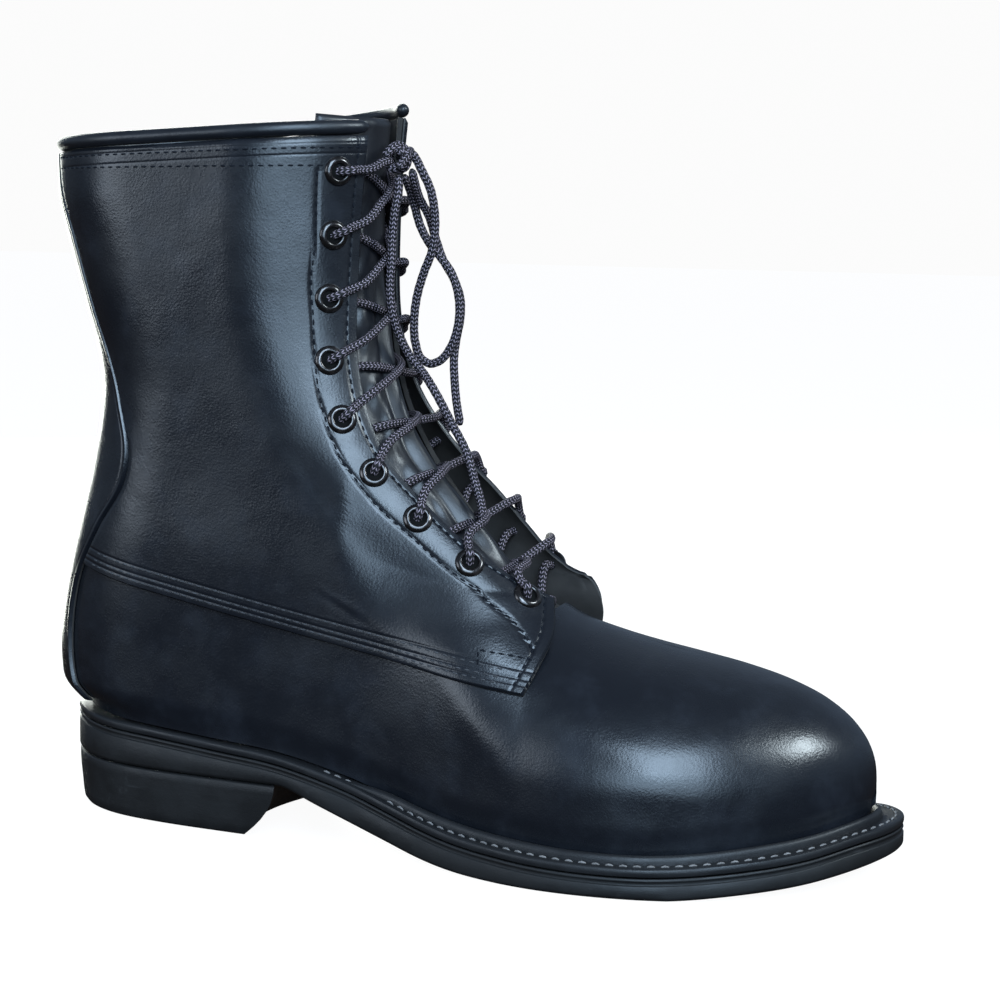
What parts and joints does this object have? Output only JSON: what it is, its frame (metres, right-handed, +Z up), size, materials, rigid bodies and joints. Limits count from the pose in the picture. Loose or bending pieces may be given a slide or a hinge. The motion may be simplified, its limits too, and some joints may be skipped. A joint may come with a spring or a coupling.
{
  "type": "combat boot",
  "caption": "Lace-up leather combat boot with a tall shaft, backstay, lapped quarters, eyelets, tongue, tied lace, welt, rubber sole and stacked heel.",
  "frame": {"origin": "on the floor, under the middle of the boot's box", "axes": "+X from the heel to the toe, +Y to the inner side of the foot, +Z up"},
  "size_m": [0.318, 0.1114, 0.2616],
  "materials": {
    "leather": "black smooth leather, semi-gloss, polished at the toe",
    "quarter_leather": "black smooth leather, semi-gloss",
    "backstay_leather": "black smooth leather, semi-gloss",
    "binding": "black rolled leather edge",
    "tongue_leather": "black soft leather",
    "insole_board": "dull brown board",
    "rubber": "matte black rubber, fine texture",
    "heel_rubber": "matte black rubber, fine texture",
    "welt": "matte black, stitched and scuffed",
    "enamel": "black enamel with worn rims",
    "lace": "black braided cord with grey flecks"
  },
  "bodies": {
    "root": {"backstay": "backstay_leather", "collar_binding": "binding", "eyelet_lateral_1": "enamel", "eyelet_lateral_2": "enamel", "eyelet_lateral_3": "enamel", "eyelet_lateral_4": "enamel", "eyelet_lateral_5": "enamel", "eyelet_lateral_6": "enamel", "eyelet_lateral_7": "enamel", "eyelet_lateral_8": "enamel", "eyelet_lateral_9": "enamel", "eyelet_medial_1": "enamel", "eyelet_medial_2": "enamel", "eyelet_medial_3": "enamel", "eyelet_medial_4": "enamel", "eyelet_medial_5": "enamel", "eyelet_medial_6": "enamel", "eyelet_medial_7": "enamel", "eyelet_medial_8": "enamel", "eyelet_medial_9": "enamel", "heel": "heel_rubber", "insole": "insole_board", "lace_bar": "lace", "lace_cross_1": "lace", "lace_cross_2": "lace", "lace_cross_3": "lace", "lace_cross_4": "lace", "lace_cross_5": "lace", "lace_cross_6": "lace", "lace_cross_7": "lace", "lace_cross_8": "lace", "lace_end_1": "lace", "lace_end_2": "lace", "lace_knot": "lace", "lace_loop": "lace", "lace_tie_lateral": "lace", "lace_tie_medial": "lace", "outsole": "rubber", "quarter_lateral": "quarter_leather", "quarter_medial": "quarter_leather", "tongue": "tongue_leather", "upper": "leather", "welt": "welt"}
  },
  "joints": []
}
